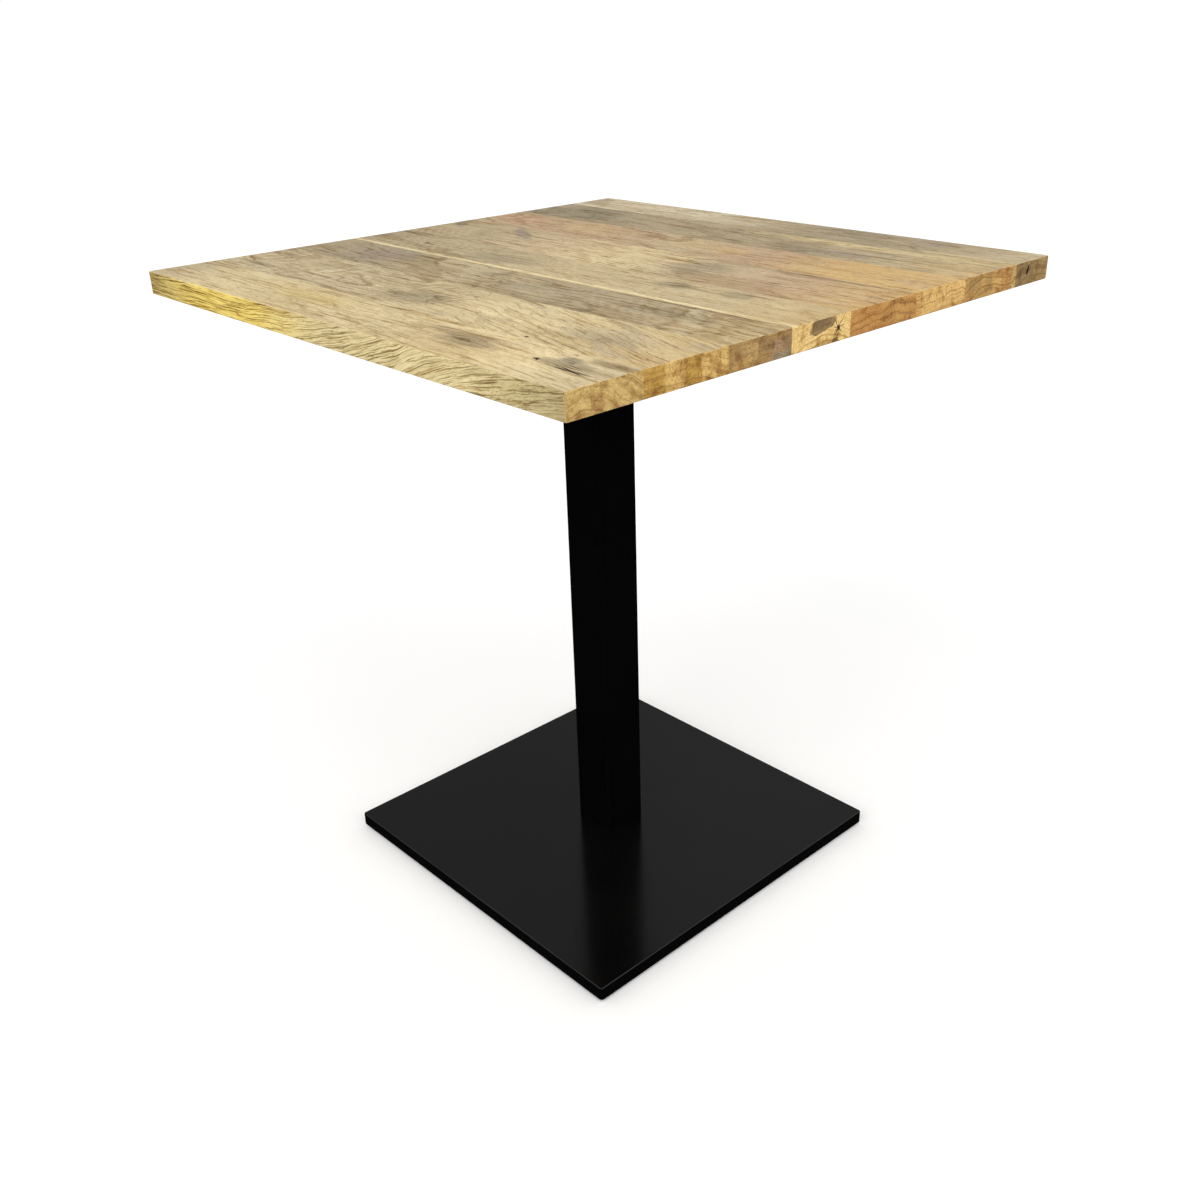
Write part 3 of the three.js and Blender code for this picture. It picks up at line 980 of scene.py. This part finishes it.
def add_top():
    # painted shade for the walls of the checks and holes
    void = painted_hole_shade("painted_hole_shade")
    for number, board in enumerate(BOARDS, 1):
        node = f"tabletop_stave_{number}"
        low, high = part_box(node)
        outer = {1: -1, STAVES: 1}.get(number, 0)
        material = Wood(f"wood_{number}", number, board).build()
        bm = wear_stave(number, drill_pilots(stave_mesh(low, high, outer), low, high), high)
        place_piece(f"stave_{number}", bm, material, node, inside=void)


# ---- column, cover and ballast


STEEL = 2 * MM
SPIGOT = 27.3 * MM
ROD_HOLE = 5.6 * MM
NUT_RECESS = 19 * MM
TAPPED_HOLE = 4.3 * MM


def add_column(material):
    low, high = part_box("column_tube")
    nick = 0.3 * MM
    profile = [(nick, low[2]), (0, low[2] + nick), (0, high[2] - nick), (nick, high[2])]
    profile += [(STEEL, high[2]), (STEEL, low[2])]
    rings = square_rings(high[0], 3 * MM, profile)
    place_piece("column", loft(rings, closed=True), material, "column_tube")


def add_cover(material):
    low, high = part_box("base_cover")
    radius, bend, nick, opening = 4 * MM, 1.6 * MM, 0.3 * MM, 27.7 * MM
    outside = [(nick, low[2]), (0, low[2] + nick)]
    outside += [(bend * inset, high[2] - bend * drop) for inset, drop in quarter(6)]
    rings = square_rings(high[0], radius, outside)
    rings += square_rings(opening, 1.5 * MM, [(0, high[2]), (0, high[2] - STEEL)])
    rings += square_rings(high[0], radius, [(STEEL, high[2] - STEEL), (STEEL, low[2])])
    place_piece("cover", loft(rings, closed=True), material, "base_cover")


def add_ballast(material):
    low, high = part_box("ballast_plate")
    slab_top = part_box("base_cover")[1].z - STEEL
    edge = 1 * MM
    slab = [(edge, low[2]), (0.3 * edge, low[2] + 0.3 * edge), (0, low[2] + edge)]
    slab += [(0, slab_top - edge), (edge, slab_top)]
    rings = square_rings(high[0], 2 * MM, slab)
    rings += square_rings(SPIGOT, 1.5 * MM, [(0, slab_top), (0, high[2] - edge), (edge, high[2])])
    bm = loft(rings)
    bm = cut(bm, drill(NUT_RECESS, low[2], low[2] + 6 * MM, 1 * MM))
    bm = cut(bm, drill(ROD_HOLE, low[2] + 5 * MM, high[2] + 1 * MM, 0.0))
    for number in range(1, GLIDES + 1):
        bm = cut(bm, drill(TAPPED_HOLE, low[2], high[2], 0.7 * MM, *centre_of(f"glide_stem_{number}")))
    place_piece("ballast", bm, material, "ballast_plate")


# ---- spider, screws and tie rod

ARM_WIDTH = 32 * MM
ARM_END = 205 * MM
ARM_TAPER = (38 * MM, 84 * MM)
ARM_THICKNESS = 6 * MM
SPIGOT_HEIGHT = 6 * MM
SCREW_HOLE = 2.95 * MM
NUT_POCKET = 17 * MM


def arm_rings(bottom, top):
    """Sections of one arm along X, deep at the hub and flat beyond, with a rounded end."""
    start, stop = ARM_TAPER
    flat = top - ARM_THICKNESS
    wide, corner = ARM_WIDTH / 2, 9 * MM
    sections = [(0.0, bottom, wide), (start, bottom, wide), (stop, flat, wide)]
    sections += [(ARM_END - corner * along, flat, wide - corner * aside) for aside, along in quarter(5)]
    rings = []
    for x, z, half in sections:
        rings.append([Vector((x, y, level)) for y, level in oblong(-half, half, z, top)])
    return rings


def add_spider(material):
    low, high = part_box("spider")
    top = high[2]
    hub_bottom = low[2] + SPIGOT_HEIGHT
    bm = bmesh.new()
    skin(bm, [rounded_ring(38 * MM, 6 * MM, z) for z in (hub_bottom, top)])
    for i in range(4):
        turn = Matrix.Rotation(math.radians(45 + 90 * i), 3, "Z")
        skin(bm, [[turn @ point for point in ring] for ring in arm_rings(hub_bottom, top)])
    bmesh.ops.recalc_face_normals(bm, faces=bm.faces)
    bm = cast(bm, 1.3 * MM, 4)
    for vert in bm.verts:
        vert.co.z = min(vert.co.z, top)
    rod_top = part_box("tie_rod")[1].z
    pocket_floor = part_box("tie_rod_upper_washer")[0].z
    bm = cut(bm, turned([(NUT_POCKET, pocket_floor), (NUT_POCKET, top + 1 * MM)], sides=48))
    bm = cut(bm, drill(ROD_HOLE, hub_bottom - 1 * MM, rod_top, 0.0))
    for node in SCREWS:
        bm = cut(bm, drill(SCREW_HOLE, hub_bottom + 5 * MM, top + 1 * MM, 0.0, *centre_of(node)))
    # the machined spigot that drops into the column
    bore, root = ROD_HOLE + 1.5 * MM, hub_bottom + 0.6 * MM
    nick, corner = 1 * MM, 1.5 * MM
    sections = [(SPIGOT - nick, nick, low[2]), (SPIGOT, corner, low[2] + nick), (SPIGOT, corner, root)]
    sections += [(bore, ROD_HOLE, root), (bore, ROD_HOLE, low[2])]
    plug = loft([rounded_ring(*section) for section in sections], closed=True)
    bm = cut(bm, plug, operation="UNION")
    place_piece("spider_casting", bm, material, "spider")


def add_screws(material):
    """Pan-head wood screws with a cross recess, pointing up."""
    low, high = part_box("wood_screw_1")
    head, dome, seat = 4.6 * MM, 1.8 * MM, 3 * MM
    radius, depth, pitch, sides, tip = 2.4 * MM, 0.8 * MM, 1.9 * MM, 32, 5 * MM
    profile = [(head - dome * inset, low[2] + 0.9 * dome * rise) for rise, inset in quarter(6)]
    profile += [(head, low[2] + seat - 0.2 * MM), (head - 0.2 * MM, low[2] + seat)]
    profile.append((radius - depth, low[2] + seat))
    bm = bmesh.new()
    skin(bm, [round_ring(reach, z, sides) for reach, z in profile], capped=(True, False))
    add_thread(bm, radius, depth, pitch, low[2] + seat, high[2], sides, tip)
    bm = welded(bm)
    for half_x, half_y in ((2.3, 0.55), (0.55, 2.3)):
        rings = []
        for z, share in ((-0.3, 1.0), (0.2, 0.95), (1.6, 0.55)):
            x, y, level = half_x * share * MM, half_y * share * MM, low[2] + z * MM
            rings.append([Vector((*corner, level)) for corner in oblong(-x, x, -y, y)])
        bm = cut(bm, loft(rings))
    for number, node in enumerate(SCREWS, 1):
        place_piece(f"screw_{number}", moved(bm, *centre_of(node)), material, node, sharp_from=40)
    bm.free()


def add_tie_rod(material):
    low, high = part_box("tie_rod")
    radius, depth, pitch, sides = 4.9 * MM, 0.8 * MM, 1.5 * MM, 48
    lower_end, upper_start = low[2] + 22 * MM, high[2] - 24 * MM
    bm = bmesh.new()
    root = add_thread(bm, radius, depth, pitch, low[2], lower_end, sides)
    add_thread(bm, radius, depth, pitch, upper_start, high[2], sides)
    shank = [(root, lower_end), (radius, lower_end + depth)]
    shank += [(radius, upper_start - depth), (root, upper_start)]
    skin(bm, [round_ring(reach, z, sides) for reach, z in shank], capped=(False, False))
    add_disc(bm, root, low[2], sides)
    add_disc(bm, root, high[2], sides)
    place_piece("rod", welded(bm), material, "tie_rod", sharp_from=50)


def nut_profile(bottom, top):
    bore, mouth = 4.95 * MM, 0.6 * MM
    profile = [(bore + mouth, bottom)] + hexagon_profile(17 * MM, bottom, top)
    return profile + [(bore + mouth, top), (bore, top - mouth), (bore, bottom + mouth)]


def washer_profile(bottom, top):
    hole, rim, nick = 5.25 * MM, 10.5 * MM, 0.3 * MM
    profile = [(hole, bottom), (rim - nick, bottom), (rim, bottom + nick)]
    return profile + [(rim, top - nick), (rim - nick, top), (hole, top)]


def add_nuts_and_washers(material):
    for end in ("lower", "upper"):
        for kind, shape in (("nut", nut_profile), ("washer", washer_profile)):
            node = f"tie_rod_{end}_{kind}"
            bottom, top = (corner.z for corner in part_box(node))
            bm = turned(shape(bottom, top), closed=True)
            place_piece(f"{end}_{kind}", bm, material, node)


# ---- glides


def stem_mesh():
    """M8 stem with a hexagon collar and a rounded foot that turns in the pad."""
    low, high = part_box("glide_stem_1")
    radius, depth, pitch = 3.95 * MM, 0.65 * MM, 1.25 * MM
    collar_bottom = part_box("glide_pad_1")[1].z + 0.3 * MM
    collar_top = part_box("ballast_plate")[0].z - 0.3 * MM
    root = radius - depth
    profile = [
        (2.4 * MM, low[2]), (3.3 * MM, low[2] + 0.25 * MM), (3.8 * MM, low[2] + 0.7 * MM),
        (radius, low[2] + 1.2 * MM), (3.7 * MM, low[2] + 1.8 * MM), (3.4 * MM, collar_bottom),
    ]
    profile += hexagon_profile(13 * MM, collar_bottom, collar_top)
    profile.append((root, collar_top))
    bm = bmesh.new()
    skin(bm, [round_ring(reach, z) for reach, z in profile], capped=(True, False))
    add_thread(bm, radius, depth, pitch, collar_top, high[2], 96)
    add_disc(bm, root, high[2])
    return welded(bm)


def pad_mesh():
    """Moulded foot: rounded rim, a slightly domed back and a raised lip round the socket."""
    low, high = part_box("glide_pad_1")
    radius, edge, lip = high[0] - (low[0] + high[0]) / 2, 1 * MM, 0.5 * MM
    shoulder = high[2] - lip
    profile = [(0.6 * radius, low[2]), (radius - edge, low[2])]
    profile += [(radius - edge * inset, low[2] + edge * rise) for rise, inset in quarter(5)[1:]]
    profile += [(radius - edge * inset, shoulder - edge * drop) for inset, drop in quarter(5)]
    profile += [
        (8.4 * MM, shoulder + 0.15 * MM), (7.8 * MM, high[2] - 0.1 * MM), (7.5 * MM, high[2]),
        (4.8 * MM, high[2]), (4.5 * MM, high[2] - 0.3 * MM), (4.5 * MM, low[2] + 1.5 * MM),
    ]
    return turned(profile)


def add_glides(zinc, nylon):
    stem, pad = stem_mesh(), pad_mesh()
    for number in range(1, GLIDES + 1):
        stem_node, pad_node = f"glide_stem_{number}", f"glide_pad_{number}"
        stem_here, pad_here = (moved(mesh, *centre_of(stem_node)) for mesh in (stem, pad))
        place_piece(f"stem_{number}", stem_here, zinc, stem_node, f"stem_{number}", 40)
        place_piece(f"pad_{number}", pad_here, nylon, pad_node, f"foot_{number}")
    stem.free()
    pad.free()


# ---- studio

# brightness of the sky at the horizon and above, and between which heights it rises
SKY = (0.04, 0.92)
SKY_RISE = (-0.05, 0.30)
SKY_IN_GLOSS = (0.02, 1.0)
SKY_RISE_IN_GLOSS = (0.1, 0.95)
# in reflections the left side of the sky falls to the last value
LEFT_IN_GLOSS = (0.1, -0.15, 1.0, 0.82)
# brightness of the white that the camera sees
BACKDROP = 1.0
FLOOR_REACH = 60.0
FLOOR_COLOUR = (0.95, 0.95, 0.95, 1.0)
# name, azimuth round the table, elevation, angular width, strength
SUNS = [("sun_left", 12, 38, 40, 0.85), ("sun_right", 85, 42, 40, 0.62)]


def add_floor():
    """A pale floor, which the black base doesn't mirror."""
    reach = FLOOR_REACH
    mesh = bpy.data.meshes.new("floor")
    corners = [(x, y, 0) for x, y in oblong(-reach, reach, -reach, reach)]
    mesh.from_pydata(corners, [], [(0, 1, 2, 3)])
    floor = add_object("floor", mesh)
    pale = Shader("floor").finish(Base_Color=FLOOR_COLOUR, Roughness=0.9, Specular_IOR_Level=0.0)
    mesh.materials.append(pale)
    floor.visible_glossy = False


def add_sky():
    """An even bright sky, white where the camera sees it."""
    world = bpy.data.worlds.new("studio")
    bpy.context.scene.world = world
    world.use_nodes = True
    sky = Nodes(world.node_tree)
    x, y, z = sky.parts(sky.node("TexCoord").outputs["Generated"])
    rays = sky.node("LightPath").outputs
    dimmed = sky.step(sky.add(x, y), *LEFT_IN_GLOSS)
    mirrored = sky.times(dimmed, sky.step(z, *SKY_RISE_IN_GLOSS, *SKY_IN_GLOSS))
    light = sky.choose(rays["Is Glossy Ray"], sky.step(z, *SKY_RISE, *SKY), mirrored)
    background = sky.tree.nodes["Background"]
    background.inputs["Color"].default_value = (1.0, 1.0, 1.0, 1.0)
    sky.put(background.inputs["Strength"], sky.choose(rays["Is Camera Ray"], light, BACKDROP))


def add_suns():
    """Two large soft suns from the front."""
    for name, azimuth, elevation, softness, strength in SUNS:
        light = bpy.data.lights.new(name, "SUN")
        light.energy = strength
        light.angle = math.radians(softness)
        sun = add_object(name, light)
        turn, tilt = math.radians(azimuth), math.radians(elevation)
        away = Vector((math.sin(turn) * math.cos(tilt), -math.cos(turn) * math.cos(tilt), math.sin(tilt)))
        sun.rotation_euler = (-away).to_track_quat("-Z", "Y").to_euler()


# ---- build

add_camera()
bpy.context.scene.view_settings.view_transform = "Standard"
add_floor()
add_sky()
add_suns()
add_top()
column_half, cover_half = (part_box(node)[1].x for node in ("column_tube", "base_cover"))
add_column(powder_coat("column_powder_coat", linear(3, 3, 3), 0.38, 0.1, column_half))
add_cover(powder_coat("cover_powder_coat", linear(4, 4, 4), 0.16, 0.18, cover_half))
add_ballast(cast_paint("primed_casting", linear(50, 50, 52)))
add_spider(cast_paint("black_casting", linear(30, 30, 31)))
zinc = zinc_plate("zinc")
add_screws(zinc)
add_tie_rod(zinc)
add_nuts_and_washers(zinc)
add_glides(zinc, moulded_nylon("nylon"))
